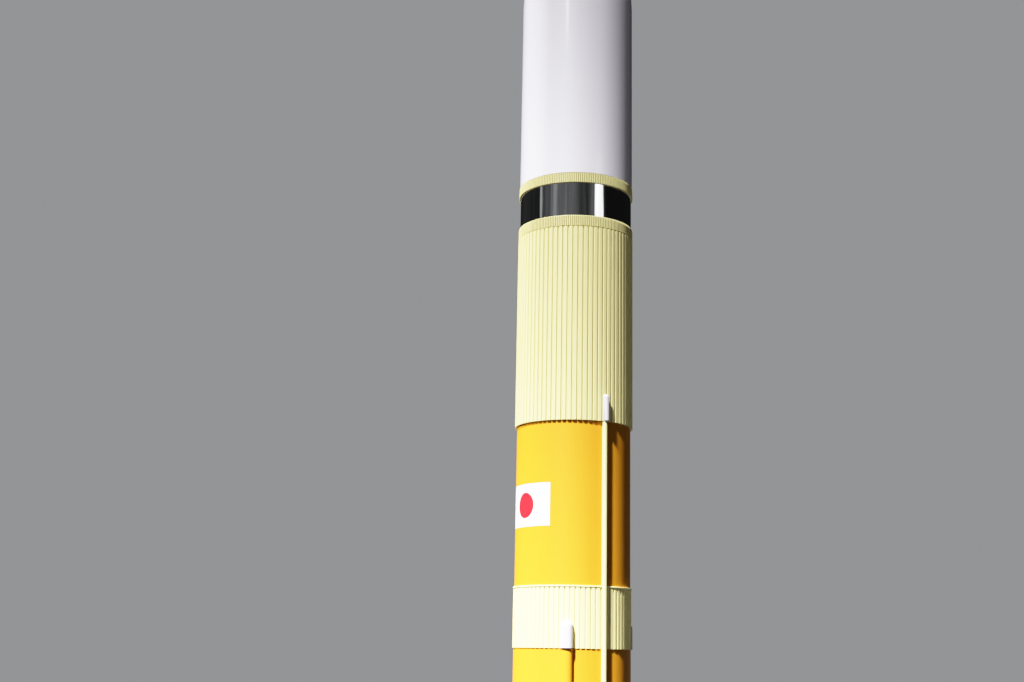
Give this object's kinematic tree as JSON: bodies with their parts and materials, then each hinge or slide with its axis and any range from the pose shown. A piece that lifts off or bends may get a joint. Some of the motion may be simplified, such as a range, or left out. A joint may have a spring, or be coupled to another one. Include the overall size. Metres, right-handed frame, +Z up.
{
  "type": "display model of a space rocket",
  "caption": "Tall display model of a two-stage space rocket with strap-on boosters, ribbed skirts, a mirror band and a white fairing, standing on a base plate.",
  "frame": {"origin": "middle of the base plate's underside, on the rocket's axis", "axes": "+Z up along the rocket's axis, -Y towards the flag side, the two boosters along X"},
  "size_m": [1.2, 0.9, 5.2288],
  "materials": {
    "white_paint": "gloss white paint",
    "cream_paint": "satin pale yellow paint",
    "ivory_paint": "satin ivory paint",
    "orange_paint": "satin orange paint",
    "mirror_film": "polished mirror",
    "cap_paint": "satin white paint",
    "nozzle_metal": "brushed, heat-tinted at the exit",
    "dark_metal": "dark satin metal",
    "shield_paint": "matt grey paint",
    "base_paint": "satin black paint"
  },
  "bodies": {
    "root": {"engine_section": "cream_paint", "lower_tank": "orange_paint", "intertank": "ivory_paint", "intertank_lip": "ivory_paint", "upper_tank": "orange_paint", "interstage": "cream_paint", "interstage_ring": "cream_paint", "mirror_band": "mirror_film", "fairing_ring": "cream_paint", "fairing_shell_left": "white_paint", "fairing_shell_right": "white_paint", "raceway_duct": "ivory_paint", "raceway_cap": "cap_paint", "feed_duct_1": "orange_paint", "feed_duct_2": "orange_paint", "feed_cap_upper_1": "cap_paint", "feed_cap_upper_2": "cap_paint", "feed_cap_lower_1": "cap_paint", "feed_cap_lower_2": "cap_paint", "heat_shield": "shield_paint", "engine_chamber": "dark_metal", "main_nozzle": "nozzle_metal", "fuel_turbopump": "dark_metal", "oxidiser_turbopump": "dark_metal", "booster_skirt_left": "white_paint", "booster_skirt_right": "white_paint", "booster_case_left": "white_paint", "booster_case_right": "white_paint", "booster_nose_left": "white_paint", "booster_nose_right": "white_paint", "booster_nozzle_left": "dark_metal", "booster_nozzle_right": "dark_metal", "booster_tunnel_left": "white_paint", "booster_tunnel_right": "white_paint", "booster_fore_mount_left": "dark_metal", "booster_fore_mount_right": "dark_metal", "booster_aft_mount_left": "dark_metal", "booster_aft_mount_right": "dark_metal", "stand_left": "base_paint", "stand_right": "base_paint", "base_plate": "base_paint"}
  },
  "joints": []
}
